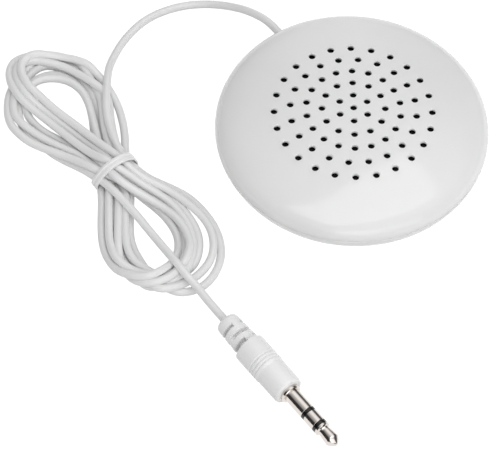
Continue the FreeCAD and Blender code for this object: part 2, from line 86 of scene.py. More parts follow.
def add_node(material, kind, settings=None, **inputs):
    """Adds a node. Settings are its own, and inputs are numbers, colours or sockets to link.

    An input goes by its name, or by its place as _0, _1 and so on.
    """
    tree = material.node_tree
    node = tree.nodes.new(kind)
    for name, value in (settings or {}).items():
        setattr(node, name, value)
    for name, value in inputs.items():
        socket = node.inputs[int(name[1:])] if name[1:].isdigit() else node.inputs[name.replace("_", " ")]
        if isinstance(value, bpy.types.NodeSocket):
            tree.links.new(value, socket)
        else:
            socket.default_value = value
    return node


def new_material(name):
    """A material with an empty node tree."""
    material = bpy.data.materials.new(name)
    material.use_nodes = True
    material.node_tree.nodes.clear()
    return material


def mesh_of(bm, name):
    """The finished bmesh as a mesh."""
    mesh = bpy.data.meshes.new(name)
    bm.to_mesh(mesh)
    bm.free()
    return mesh


# White paper: even and flat, with no sheen and no visible edge
paper = new_material("white_paper_floor")
rays = add_node(paper, "ShaderNodeLightPath")
seen = add_node(paper, "ShaderNodeMath", {"operation": "MAXIMUM"},
                _0=rays.outputs["Is Camera Ray"], _1=rays.outputs["Is Transmission Ray"])
seen_or_mirrored = add_node(paper, "ShaderNodeMath", {"operation": "MAXIMUM"},
                            _0=seen.outputs[0], _1=rays.outputs["Is Glossy Ray"])
share = add_node(paper, "ShaderNodeMath", {"operation": "MULTIPLY"},
                 _0=seen_or_mirrored.outputs[0], _1=GLOW_SHARE)
matt = add_node(paper, "ShaderNodeBsdfDiffuse", Color=linear("#B4B4B4"))
glow = add_node(paper, "ShaderNodeEmission", Color=linear("#FFFFFF"), Strength=GLOW_STRENGTH)
mixed = add_node(paper, "ShaderNodeMixShader",
                 Fac=share.outputs[0], _1=matt.outputs[0], _2=glow.outputs[0])
add_node(paper, "ShaderNodeOutputMaterial", Surface=mixed.outputs[0])

sheet = bmesh.new()
bmesh.ops.create_circle(sheet, cap_ends=True, segments=64, radius=FLOOR_RADIUS,
                        matrix=Matrix.Translation((0, 0, -FLOOR_DROP * MM)))
floor_mesh = mesh_of(sheet, "floor")
floor_mesh.materials.append(paper)
floor = bpy.data.objects.new("floor", floor_mesh)
bpy.context.scene.collection.objects.link(floor)

# Light: a white room, brighter low at its walls than overhead and a little darker to the left,
# with one broad lamp in front and one above. The camera sees the surroundings as plain white.
surroundings = bpy.data.worlds.new("soft_room")
surroundings.use_nodes = True
surroundings.node_tree.nodes.clear()
room_rays = add_node(surroundings, "ShaderNodeLightPath")
direction = add_node(surroundings, "ShaderNodeTexCoord").outputs["Generated"]
bearing = add_node(surroundings, "ShaderNodeSeparateXYZ", Vector=direction)
eased = {"interpolation_type": "SMOOTHSTEP"}
product = {"operation": "MULTIPLY"}

# Matt surfaces meet this light
walls = add_node(surroundings, "ShaderNodeMapRange", eased,
                 _0=bearing.outputs["Z"], _1=0.0, _2=0.9, _3=1.05, _4=0.42).outputs[0]
leftward = add_node(surroundings, "ShaderNodeMapRange", eased,
                    _0=bearing.outputs["X"], _1=-0.9, _2=0.5, _3=0.76, _4=1.1).outputs[0]
room_light = add_node(surroundings, "ShaderNodeMath", product, _0=walls, _1=leftward).outputs[0]

# Polished surfaces mirror this instead: a dark screen low at either side and a dimmer left,
# which give the metal pin its dark edges beside a bright middle
sideways = add_node(surroundings, "ShaderNodeMath", {"operation": "ABSOLUTE"},
                    _0=bearing.outputs["X"]).outputs[0]
beside = add_node(surroundings, "ShaderNodeMapRange",
                  _0=sideways, _1=0.1, _2=0.4, _3=0.0, _4=1.0).outputs[0]
below = add_node(surroundings, "ShaderNodeMapRange",
                 _0=bearing.outputs["Z"], _1=0.62, _2=0.82, _3=1.0, _4=0.0).outputs[0]
screen = add_node(surroundings, "ShaderNodeMath", product, _0=beside, _1=below).outputs[0]
screened = add_node(surroundings, "ShaderNodeMapRange",
                    _0=screen, _1=0.0, _2=1.0, _3=1.15, _4=0.1).outputs[0]
left_shade = add_node(surroundings, "ShaderNodeMapRange",
                      _0=bearing.outputs["X"], _1=-0.5, _2=-0.1, _3=0.42, _4=1.1).outputs[0]
mirror_light = add_node(surroundings, "ShaderNodeMath", product, _0=screened, _1=left_shade).outputs[0]

strength = add_node(surroundings, "ShaderNodeMix",
                    _0=room_rays.outputs["Is Glossy Ray"], _2=room_light, _3=mirror_light).outputs[0]
dim = add_node(surroundings, "ShaderNodeBackground", Color=linear("#FFFFFF"), Strength=strength)
white = add_node(surroundings, "ShaderNodeBackground", Color=linear("#FFFFFF"), Strength=1.0)
room = add_node(surroundings, "ShaderNodeMixShader", Fac=room_rays.outputs["Is Camera Ray"],
                _1=dim.outputs[0], _2=white.outputs[0])
add_node(surroundings, "ShaderNodeOutputWorld", Surface=room.outputs[0])
bpy.context.scene.world = surroundings


def add_lamp(name, place, aim, width, height, power):
    """A rectangular soft lamp that faces the point it aims at."""
    data = bpy.data.lights.new(name, "AREA")
    data.shape = "RECTANGLE"
    data.size = width
    data.size_y = height
    data.energy = power
    lamp = bpy.data.objects.new(name, data)
    towards = Vector(aim) - Vector(place)
    turned = towards.to_track_quat("-Z", "Y").to_matrix().to_4x4()
    lamp.matrix_world = Matrix.Translation(place) @ turned
    bpy.context.scene.collection.objects.link(lamp)


add_lamp("front_lamp", (0.28, -0.72, 0.42), (0, 0, 0), 0.9, 0.5, 1.8)
add_lamp("overhead_lamp", (0.06, -0.08, 0.85), (0, 0, 0), 0.9, 0.42, 2.1)

# Cord: thin twin-core lead in a soft white PVC jacket, extruded round the wires.
# It leaves the rim, lies in seven loose figure-eight turns under a tie, and ends in the plug.
CORD_DIAMETER = 1.8
CORD_EXIT = Vector((-13.703, 23.264, 7.402))
TURNS = 7
TAIL_RUN = 5.8
PLUG_FACE = Vector((-14.3, -65.6, 3.55))
PLUG_TURN = math.radians(-53)
PLUG_DIRECTION = Vector((math.cos(PLUG_TURN), math.sin(PLUG_TURN), 0))
SLEEVE_REAR = -22.6

lead_route = [
    CORD_EXIT, (-16.850, 28.606, 7.402), (-21.7, 33.4, 5.6), (-26.4, 37.0, 2.9), (-32.0, 38.9, 1.2),
    (-38.5, 38.2, 0.9), (-45.3, 34.8, 0.9), (-50.3, 28.7, 0.9), (-53.1, 22.1, 1.3), (-53.7, 17.8, 2.9),
]
over_upper_lobe = [
    (-53.9, 12.3, 4.2), (-54.0, 9.5, 4.2), (-53.8, 6.9, 4.1), (-53.5, 4.2, 4.1), (-52.8, 1.5, 4.1),
    (-52.0, -1.2, 4.1), (-50.9, -4.1, 4.4), (-49.4, -6.3, 3.8),
]
over_lower_lobe = [
    (-55.5, -10.6, 3.0), (-54.1, -11.8, 3.5), (-52.4, -14.0, 4.0), (-50.6, -16.1, 3.8), (-48.9, -18.2, 3.7),
    (-47.1, -20.3, 3.5), (-45.2, -23.1, 3.3), (-43.0, -26.2, 3.3), (-40.8, -29.6, 3.6), (-38.7, -33.0, 4.1),
    (-36.6, -36.1, 4.1), (-34.4, -38.4, 3.6), (-32.7, -40.1, 3.3),
]
# At places along a turn: the inner and the outer edge of the bundle as seen through the camera,
# on the level EDGE_LEVEL, then for each of the seven strands the hundredths of the way
# from the inner edge to the outer one, and its height
EDGE_LEVEL = 0.8
hank_stations = (
    ((-54.4, -10.6), (-46.6, -5.4), (86, 75, 65, 57, 32, 42, 23), (2.7, 4.0, 2.4, 4.2, 5.1, 2.4, 2.4)),
    ((-51.5, -13.3), (-44.8, -7.9), (89, 79, 75, 66, 38, 50, 27), (1.7, 3.1, 2.0, 3.1, 4.3, 2.0, 1.8)),
    ((-49.1, -15.9), (-42.7, -9.1), (90, 80, 72, 66, 42, 52, 33), (1.0, 2.6, 1.9, 2.3, 3.5, 1.4, 1.1)),
    ((-46.9, -16.6), (-40.6, -9.5), (84, 77, 62, 56, 34, 43, 25), (0.9, 2.4, 1.6, 1.8, 3.0, 1.0, 1.0)),
    ((-44.8, -17.4), (-38.5, -10.3), (81, 74, 55, 47, 28, 35, 19), (0.8, 2.2, 1.1, 1.3, 2.5, 0.8, 0.8)),
    ((-42.6, -18.6), (-36.1, -11.1), (77, 68, 50, 38, 23, 28, 13), (0.8, 2.1, 0.9, 1.3, 2.3, 0.8, 0.8)),
    ((-40.8, -20.3), (-33.9, -12.6), (78, 66, 48, 35, 24, 24, 10), (0.8, 2.0, 0.8, 1.2, 2.3, 0.8, 0.8)),
    ((-39.5, -22.4), (-31.5, -15.8), (81, 72, 47, 35, 26, 24, 10), (0.8, 2.0, 0.8, 1.2, 2.3, 0.8, 0.8)),
    ((-38.9, -24.7), (-29.1, -19.7), (84, 77, 48, 37, 29, 24, 11), (0.8, 2.0, 0.8, 1.3, 2.4, 0.8, 0.8)),
    ((-38.9, -27.0), (-27.4, -24.9), (88, 77, 46, 39, 33, 24, 11), (0.8, 2.0, 0.8, 1.4, 2.5, 0.8, 0.9)),
    ((-39.3, -29.1), (-27.1, -30.8), (88, 71, 41, 38, 33, 22, 9), (0.8, 1.4, 0.8, 1.3, 2.4, 0.9, 1.8)),
    ((-40.4, -30.6), (-29.9, -36.7), (89, 64, 43, 41, 35, 25, 12), (0.8, 1.0, 0.8, 1.4, 2.4, 1.4, 2.7)),
    ((-41.7, -31.1), (-33.5, -40.0), (85, 61, 48, 47, 39, 29, 18), (0.8, 2.0, 0.8, 1.1, 2.6, 1.9, 3.2)),
    ((-43.6, -31.9), (-38.5, -40.8), (78, 67, 47, 60, 49, 35, 26), (0.8, 2.2, 0.8, 0.9, 2.5, 2.0, 3.6)),
    ((-45.3, -32.2), (-42.5, -39.5), (40, 76, 42, 66, 66, 40, 41), (0.8, 1.3, 0.8, 0.8, 2.3, 2.0, 3.6)),
    ((-46.2, -31.4), (-47.7, -37.8), (17, 32, 28, 44, 67, 44, 61), (0.8, 0.8, 1.0, 0.8, 1.2, 2.0, 2.9)),
    ((-46.6, -30.1), (-52.2, -34.8), (13, 24, 22, 38, 52, 50, 74), (0.8, 0.8, 1.4, 0.8, 1.0, 2.1, 1.5)),
    ((-47.1, -27.8), (-55.0, -30.2), (15, 27, 23, 41, 45, 60, 82), (0.8, 0.8, 1.9, 0.8, 1.8, 2.2, 0.8)),
    ((-47.3, -25.0), (-55.9, -25.3), (14, 32, 25, 51, 43, 65, 84), (0.8, 0.8, 2.0, 0.8, 2.2, 2.2, 0.8)),
    ((-47.3, -21.1), (-56.0, -21.1), (14, 33, 26, 54, 42, 65.5, 84), (0.8, 0.8, 2.0, 0.8, 2.2, 2.2, 0.8)),
    ((-47.4, -17.2), (-56.1, -17.2), (12, 32, 24, 52, 39, 65.5, 83), (0.8, 0.8, 1.8, 0.8, 2.2, 2.2, 0.8)),
    ((-47.4, -13.8), (-55.7, -13.8), (12, 31, 24, 51, 38, 67, 85), (0.9, 1.0, 1.5, 0.9, 1.6, 1.7, 1.0)),
    ((-57.4, -1.6), (-48.4, -1.5), (85, 66, 47, 22, 35, 53, 16), (1.2, 1.8, 2.4, 1.5, 1.0, 0.9, 0.9)),
    ((-57.9, 1.9), (-48.4, 2.0), (87, 60, 43, 20, 33, 51, 16), (0.8, 2.3, 2.4, 1.9, 0.8, 0.8, 0.8)),
    ((-58.4, 5.4), (-48.9, 5.5), (87, 57.5, 43, 19, 34, 51, 18), (0.8, 2.3, 2.4, 2.2, 0.8, 0.8, 0.8)),
    ((-58.9, 9.0), (-49.6, 9.0), (86, 60, 46, 17, 36, 53, 18), (0.8, 2.0, 2.3, 2.1, 0.8, 0.8, 0.8)),
    ((-59.8, 11.7), (-50.7, 12.3), (85, 67, 54, 19, 40, 57, 22), (0.8, 1.5, 1.4, 2.1, 0.8, 0.8, 0.8)),
    ((-60.7, 13.9), (-52.3, 15.9), (78, 58, 54, 18, 40, 59, 22), (1.2, 2.1, 1.0, 2.1, 0.8, 0.8, 0.8)),
    ((-61.6, 15.3), (-55.0, 20.3), (76, 47, 55, 14, 41, 57, 21), (2.0, 2.3, 0.8, 2.1, 0.8, 0.8, 0.8)),
    ((-63.2, 16.0), (-58.7, 23.9), (76, 47, 62, 16, 45, 59, 24), (2.2, 2.3, 0.8, 2.1, 0.8, 0.8, 0.8)),
    ((-65.2, 16.1), (-63.2, 25.3), (81, 58, 73, 20, 60, 67, 32), (2.5, 2.3, 0.8, 2.1, 0.8, 0.8, 0.8)),
    ((-67.4, 15.8), (-67.2, 26.4), (79, 63, 73, 21, 68, 67, 29), (2.7, 2.4, 0.8, 2.1, 0.8, 0.8, 0.8)),
    ((-69.4, 15.2), (-71.5, 26.1), (85, 73, 81, 18, 46, 62, 23), (2.9, 2.2, 0.8, 2.1, 0.8, 0.8, 0.8)),
    ((-70.3, 14.7), (-75.7, 24.9), (65, 71, 83, 13, 26, 42, 17), (3.8, 2.4, 1.3, 2.1, 0.8, 0.8, 0.8)),
    ((-69.2, 15.2), (-78.0, 19.6), (33, 61, 80, 19, 34, 49, 24), (4.3, 2.9, 2.2, 2.1, 0.8, 0.8, 0.8)),
    ((-70.7, 13.8), (-77.6, 12.7), (-16, 22, 43, 25, 52, 76, 35), (3.9, 3.2, 3.2, 1.8, 1.4, 0.8, 0.8)),
    ((-69.6, 13.6), (-76.9, 3.2), (-2, 16, 27, 40, 68, 80, 54), (3.8, 2.8, 2.9, 1.0, 1.9, 2.0, 0.8)),
    ((-68.0, 12.2), (-74.1, -0.1), (0, 16, 27, 47, 62, 80, 70), (3.5, 2.4, 2.6, 0.8, 1.9, 2.2, 0.8)),
    ((-66.0, 10.0), (-71.2, -2.5), (0, 15, 26, 50, 63, 81, 73), (3.3, 2.1, 2.5, 0.8, 1.9, 2.2, 0.8)),
    ((-63.7, 7.6), (-68.3, -3.8), (-1, 15, 28, 49, 62, 78, 76), (3.2, 2.0, 2.5, 0.8, 1.9, 2.3, 0.8)),
    ((-61.0, 5.2), (-65.4, -5.4), (-2, 16, 30, 46, 59, 74, 83), (3.4, 2.2, 3.0, 0.9, 2.1, 2.5, 0.9)),
    ((-57.9, 2.7), (-62.1, -6.9), (1, 20, 36, 49, 55, 71, 83), (3.9, 2.3, 3.5, 1.3, 2.3, 2.9, 1.0)),
    ((-54.8, 0.3), (-59.0, -8.5), (4, 24, 40, 53, 55, 69, 83), (4.5, 3.0, 4.3, 1.8, 2.6, 3.9, 2.2)),
    ((-52.3, -1.8), (-57.1, -9.0), (6, 24, 42, 56, 60, 70, 90), (5.2, 4.1, 5.2, 3.0, 3.0, 4.1, 2.9)),
)


def strand_point(turn, place):
    """Where a turn's strand is meant to lie: on the camera's ray through its place between the edges."""
    inner_edge, outer_edge, shares, heights = hank_stations[place]
    inner, outer = Vector((*inner_edge, EDGE_LEVEL)), Vector((*outer_edge, EDGE_LEVEL))
    on_level = inner.lerp(outer, shares[turn] / 100)
    camera_place = CAMERA_PLACE / MM
    return on_level.lerp(camera_place, (heights[turn] - EDGE_LEVEL) / (camera_place.z - EDGE_LEVEL))


wound = [Vector(point) for point in over_upper_lobe]
for turn in range(TURNS):
    wound += [strand_point(turn, place) for place in range(len(hank_stations))]
wound += [Vector(point) for point in over_lower_lobe]


def smooth_line(points, spacing):
    """Points a spacing apart along a smooth curve that follows the given points closely."""
    # It is a mix of a curve through the points and of a softer one that passes beside them
    points = np.array(points)
    ends = np.vstack([2 * points[0] - points[1], points, 2 * points[-1] - points[-2]])
    before, here, after, beyond = ends[:-3, None], ends[1:-2, None], ends[2:-1, None], ends[3:, None]
    t = np.linspace(0, 1, 8, endpoint=False)[None, :, None]
    through = 0.5 * (2 * here + (after - before) * t + (2 * before - 5 * here + 4 * after - beyond) * t ** 2
                     + (3 * here - before - 3 * after + beyond) * t ** 3)
    beside = ((1 - t) ** 3 * before + (3 * t ** 3 - 6 * t ** 2 + 4) * here
              + (3 * t ** 2 - 3 * t ** 3 + 3 * t + 1) * after + t ** 3 * beyond) / 6
    curve = (0.3 * through + 0.7 * beside).reshape(-1, 3)
    reach = np.concatenate([[0], np.cumsum(np.linalg.norm(np.diff(curve, axis=0), axis=1))])
    places = np.linspace(0, reach[-1], int(reach[-1] / spacing) + 1)
    return np.stack([np.interp(places, reach, curve[:, axis]) for axis in range(3)], axis=1)


# The strands settle: they push one another apart where they are closer than CONTACT, and else keep
# to their meant places. CONTACT is under the cord's width, so strands that touch press into one another.
# Points closer than NEARBY are tried against each other, but none within ALONG_ITSELF points of the other.
SETTLE_STEPS = 70
SEARCH_EVERY = 8
CONTACT = 1.62
NEARBY = 2.4
ALONG_ITSELF = 6
KEPT_SHARE = (0.94, 0.94, 0.97)
meant = smooth_line(wound, 1.0)
settled = meant.copy()
last = len(settled)
for step in range(SETTLE_STEPS):
    if step % SEARCH_EVERY == 0:
        apart = ((settled[:, None] - settled[None]) ** 2).sum(-1)
        first, second = np.nonzero(np.triu(apart < NEARBY ** 2, ALONG_ITSELF))
    moved = settled - meant
    moved[1:-1] = 0.25 * moved[:-2] + 0.5 * moved[1:-1] + 0.25 * moved[2:]
    settled = meant + moved * KEPT_SHARE
    for _ in range(2):
        between = settled[first] - settled[second]
        distance = np.linalg.norm(between, axis=1) + 1e-9
        overlap = np.maximum(CONTACT - distance, 0)
        push = between * (0.5 * overlap / distance)[:, None]
        touching = np.bincount(first, overlap > 0, last) + np.bincount(second, overlap > 0, last)
        pushes = [np.bincount(first, push[:, axis], last) - np.bincount(second, push[:, axis], last)
                  for axis in range(3)]
        total = np.stack(pushes, axis=1)
        settled += total * (np.clip(touching, 1, 1.5) / np.maximum(touching, 1))[:, None]
        settled[:, 2] = np.maximum(settled[:, 2], CORD_DIAMETER / 2)

sleeve_end = PLUG_FACE + PLUG_DIRECTION * SLEEVE_REAR
tail_route = [PLUG_FACE + PLUG_DIRECTION * (SLEEVE_REAR - TAIL_RUN), sleeve_end]
cord_points = [Vector(point) for point in [*lead_route, *settled[2:-2:3], *tail_route]]

cord_curve = bpy.data.curves.new("cord", "CURVE")
cord_curve.dimensions = "3D"
cord_curve.bevel_depth = CORD_DIAMETER / 2 * MM
cord_curve.bevel_resolution = 6
cord_curve.resolution_u = 8
cord_curve.use_fill_caps = True
spline = cord_curve.splines.new("NURBS")
spline.points.add(len(cord_points) - 1)
for control, point in zip(spline.points, cord_points):
    control.co = (*(point * MM), 1)
spline.order_u = 3
spline.use_endpoint_u = True
cord = bpy.data.objects.new("cord", cord_curve)
bpy.context.scene.collection.objects.link(cord)

CLOUDING_SIZE = 8.333
GLOW_REACH = 0.8


def plain_finish(name, colours, roughness, grain_size, grain_height, glow_through=0.0):
    """A finish that isn't metal: a faintly clouded colour and a fine grain. Sizes are in millimetres."""
    material = new_material(name)
    place = add_node(material, "ShaderNodeTexCoord").outputs["Object"]
    cloud = add_node(material, "ShaderNodeTexNoise", Vector=place, Scale=1 / (CLOUDING_SIZE * MM), Detail=2.0)
    tint = add_node(material, "ShaderNodeMix", {"data_type": "RGBA"}, _0=cloud.outputs["Fac"])
    tint.inputs[6].default_value = linear(colours[0])
    tint.inputs[7].default_value = linear(colours[1])
    grain = add_node(material, "ShaderNodeTexNoise", Vector=place, Scale=1 / (grain_size * MM), Detail=3.0)
    bump = add_node(material, "ShaderNodeBump", Height=grain.outputs["Fac"], Strength=1.0,
                    Distance=grain_height * MM)
    skin = add_node(material, "ShaderNodeBsdfPrincipled", Base_Color=tint.outputs[2], Roughness=roughness,
                    Normal=bump.outputs[0], Subsurface_Weight=glow_through, Subsurface_Radius=(1.0, 1.0, 1.0),
                    Subsurface_Scale=GLOW_REACH * MM)
    add_node(material, "ShaderNodeOutputMaterial", Surface=skin.outputs[0])
    return material


# Extruded soft PVC: satin white, with a faint sheen along the top of each strand
cord_jacket = plain_finish("soft_white_pvc_jacket", ("#E7E7E7", "#EBEBEB"), 0.36, 0.8, 0.002)
cord_curve.materials.append(cord_jacket)

# Front cover: injection-moulded glossy white ABS, a shallow dome with 81 round sound holes.
# Its shoulder rolls over to the parting line, where it meets the rear cover.
DISC_RADIUS = 30.0
DISC_HEIGHT = 15.2
SEAM_HEIGHT = 7.402
WALL = 1.6
CROWN_RADIUS = 94.0
CROWN_EDGE = 22.7
SHOULDER_PULL = 4.6
SHOULDER_RISE = 2.8
AROUND = 192


def bezier(corners, count):
    """Points along a cubic curve with four corners, without its last point."""
    a, b, c, d = (np.array(corner) for corner in corners)
    t = np.linspace(0, 1, count, endpoint=False)[:, None]
    curve = (1 - t) ** 3 * a + 3 * (1 - t) ** 2 * t * b + 3 * (1 - t) * t ** 2 * c + t ** 3 * d
    return [tuple(point) for point in curve]


def crown_profile(inset, steps, shoulder_steps):
    """(radius, height) points of the cover's skin from the axis to the parting line."""
    sphere = CROWN_RADIUS - inset
    slope = math.asin(CROWN_EDGE / CROWN_RADIUS)
    centre = DISC_HEIGHT - CROWN_RADIUS
    turns = [slope * step / steps for step in range(steps)]
    crown = [(sphere * math.sin(turn), centre + sphere * math.cos(turn)) for turn in turns]
    edge = (sphere * math.sin(slope), centre + sphere * math.cos(slope))
    pull = SHOULDER_PULL - inset / 2
    rim = (DISC_RADIUS - inset, SEAM_HEIGHT)
    handle = (edge[0] + pull * math.cos(slope), edge[1] - pull * math.sin(slope))
    upright = (rim[0], SEAM_HEIGHT + SHOULDER_RISE - inset / 2)
    return crown + bezier((edge, handle, upright, rim), shoulder_steps)


def seam_edge(side):
    """(radius, height) points of a cover's eased edge along the parting line, above it or below."""
    eased_points = ((0.01, 0.22), (0.06, 0.14), (0.2, 0.02), (WALL, 0.02))
    return [(DISC_RADIUS - inset, SEAM_HEIGHT + side * height) for inset, height in eased_points]


def spun(name, profile, steps, start=Vector((0, 0, 0)), axis=Vector((0, 0, 1)), side=Vector((1, 0, 0))):
    """A closed mesh from a closed profile of (radius, height) points, spun round an axis."""
    bm = bmesh.new()
    points = [bm.verts.new((start + side * radius + axis * height) * MM) for radius, height in profile]
    pairs = list(zip(points, points[1:]))
    if min(profile[0][0], profile[-1][0]) > 0:
        pairs.append((points[-1], points[0]))
    edges = [bm.edges.new(pair) for pair in pairs]
    bmesh.ops.spin(bm, geom=points + edges, cent=start * MM, axis=axis, angle=2 * math.pi, steps=steps,
                   use_merge=True)
    bmesh.ops.remove_doubles(bm, verts=bm.verts, dist=1e-6)
    bmesh.ops.recalc_face_normals(bm, faces=bm.faces)
    return mesh_of(bm, name)


def joined(name, meshes):
    """One mesh of several, which are used up."""
    bm = bmesh.new()
    for mesh in meshes:
        bm.from_mesh(mesh)
        bpy.data.meshes.remove(mesh)
    return mesh_of(bm, name)


def place_piece(name, mesh, material, sharp_angle=38):
    """Puts a finished mesh in the scene, smooth but for its sharp edges."""
    mesh.materials.clear()
    mesh.materials.append(material)
    for face in mesh.polygons:
        face.use_smooth = True
    mesh.set_sharp_from_angle(angle=math.radians(sharp_angle))
    piece = bpy.data.objects.new(name, mesh)
    bpy.context.scene.collection.objects.link(piece)
    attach(piece, "root")
    return piece


def cut(mesh, cutter):
    """The mesh with the cutter's space taken out of it."""
    body = bpy.data.objects.new("body", mesh)
    tool = bpy.data.objects.new("tool", cutter)
    for piece in (body, tool):
        bpy.context.scene.collection.objects.link(piece)
    step = body.modifiers.new("cut", "BOOLEAN")
    step.object = tool
    step.operation = "DIFFERENCE"
    step.solver = "EXACT"
    bpy.context.view_layer.update()
    result = bpy.data.meshes.new_from_object(body.evaluated_get(bpy.context.evaluated_depsgraph_get()))
    result.name = mesh.name + "_cut"
    bpy.data.objects.remove(body)
    bpy.data.objects.remove(tool)
    return result


outer = crown_profile(0.0, 44, 26)
inner = crown_profile(WALL, 12, 12)
front_shell = spun("front_shell", outer + seam_edge(1) + inner[::-1], AROUND)

# Sound holes: rings a pitch apart, each with its number of holes and the bearing of its first hole.
# The punch breaks each hole's outer edge, and thins the wall round its inner end.
HOLE_RADIUS = 0.75
RING_PITCH = 3.45
THINNED_WALL = 0.62
THINNED_RADIUS = 1.5
hole_rings = ((1, 90.0), (6, 90.0), (12, 90.0), (18, 90.0), (20, 84.0), (24, 90.0))
punch = [(0, -4.0), (THINNED_RADIUS, -4.0), (THINNED_RADIUS, -THINNED_WALL - 0.06),
         (HOLE_RADIUS, -THINNED_WALL), (HOLE_RADIUS, -0.07), (HOLE_RADIUS + 0.02, -0.03),
         (HOLE_RADIUS + 0.06, 0.0), (HOLE_RADIUS + 0.16, 0.06), (HOLE_RADIUS + 0.16, 1.0), (0, 1.0)]
punches = []
for ring, (count, start) in enumerate(hole_rings):
    reach = ring * RING_PITCH
    surface = DISC_HEIGHT - CROWN_RADIUS + math.sqrt(CROWN_RADIUS ** 2 - reach ** 2)
    for step in range(count):
        turn = math.radians(start + 360 * step / count)
        centre = Vector((reach * math.cos(turn), reach * math.sin(turn), surface))
        punches.append(spun("punch", punch, 36, centre))
front_shell = cut(front_shell, joined("punches", punches))

# Way for the cord, half in each cover
EXIT_AZIMUTH = 120.5
WAY_RADIUS = 0.95
WAY_INNER_END = 25.4
WAY_OUTER_END = 31.0
exit_turn = math.radians(EXIT_AZIMUTH)
exit_direction = Vector((math.cos(exit_turn), math.sin(exit_turn), 0))
way_profile = [(0, WAY_INNER_END), (WAY_RADIUS, WAY_INNER_END),
               (WAY_RADIUS, WAY_OUTER_END), (0, WAY_OUTER_END)]
cord_way = spun("cord_way", way_profile, 36, Vector((0, 0, SEAM_HEIGHT)), exit_direction, Vector((0, 0, 1)))
front_shell = cut(front_shell, cord_way)

# Glossy moulded ABS: an even white with soft clear reflections and the faint ripple of a polished mould,
# through which a little light glows at thin walls
glossy_abs = plain_finish("glossy_white_abs", ("#E8E8E8", "#EBEBEB"), 0.1, 3.0, 0.006, 0.6)
front = place_piece("front_cover_shell", front_shell, glossy_abs)
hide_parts("front_cover")

# Rear cover: the same glossy white ABS, a bowl with a flat round foot.
# Screws in three wells in its curve hold the two covers together.
BASE_RADIUS = 19.0
BOWL_PULL = 6.0
BOWL_RISE = 4.0
SCREW_CIRCLE = 23.0
WELL_RADIUS = 2.2
WELL_DEPTH = 4.0
bowl = bezier(((BASE_RADIUS, 0.0), (BASE_RADIUS + BOWL_PULL, 0.0),
               (DISC_RADIUS, SEAM_HEIGHT - BOWL_RISE), (DISC_RADIUS, SEAM_HEIGHT)), 30)
inner_bowl = bezier(((BASE_RADIUS - WALL / 2, WALL), (BASE_RADIUS + BOWL_PULL - WALL / 2, WALL),
                     (DISC_RADIUS - WALL, SEAM_HEIGHT - BOWL_RISE + WALL / 2),
                     (DISC_RADIUS - WALL, SEAM_HEIGHT)), 14)
foot = [(0.0, 0.0), (BASE_RADIUS - 0.4, 0.0)]
rear_profile = foot + bowl + seam_edge(-1) + inner_bowl[::-1] + [(0.0, WALL)]
rear_shell = spun("rear_shell", rear_profile, AROUND)
rear_shell = cut(rear_shell, cord_way)
well_profile = [(0, -1.0), (WELL_RADIUS, -1.0), (WELL_RADIUS, WELL_DEPTH), (0, WELL_DEPTH)]
wells = []
for turn in (60, 180, 300):
    angle = math.radians(EXIT_AZIMUTH + turn)
    centre = Vector((SCREW_CIRCLE * math.cos(angle), SCREW_CIRCLE * math.sin(angle), 0))
    wells.append(spun("well", well_profile, 48, centre))
rear_shell = cut(rear_shell, joined("wells", wells))
rear = place_piece("rear_cover_shell", rear_shell, glossy_abs)
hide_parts("rear_cover")

# Plug: a soft white PVC moulding over the pin's rear, with a grip and a slotted sleeve that bends.
# Places along it are measured from the front of the pin's collar, and go below zero towards the cord.
plug_side = Vector((0, 0, 1))
plug_level = PLUG_DIRECTION.cross(plug_side)
COLLAR_LENGTH = 1.0
BODY_REAR = -15.2
GRIP_RADIUS = 3.55
GROOVE_RADIUS = 3.38
GRIP_GROOVES = (-9.95, -9.1, -8.25)
grip_profile = [
    (0.0, SLEEVE_REAR), (1.7, SLEEVE_REAR), (2.2, SLEEVE_REAR + 0.12), (2.5, SLEEVE_REAR + 0.45),
    (2.62, SLEEVE_REAR + 1.0), (2.9, BODY_REAR - 0.1), (3.1, BODY_REAR + 0.02), (3.38, BODY_REAR + 0.25),
    (3.52, BODY_REAR + 0.6), (GRIP_RADIUS, BODY_REAR + 1.0)]
for place in GRIP_GROOVES:
    grip_profile += [(GRIP_RADIUS, place - 0.26), (GROOVE_RADIUS, place - 0.1),
                     (GROOVE_RADIUS, place + 0.1), (GRIP_RADIUS, place + 0.26)]
grip_profile += [(3.54, -7.55), (3.44, -7.4), (3.42, -7.1), (3.38, -1.6), (3.3, -1.2), (3.1, -1.02),
                 (2.5, -COLLAR_LENGTH), (0.0, -COLLAR_LENGTH)]
grip_mesh = spun("plug_grip_mesh", grip_profile, 96, PLUG_FACE, PLUG_DIRECTION, plug_side)

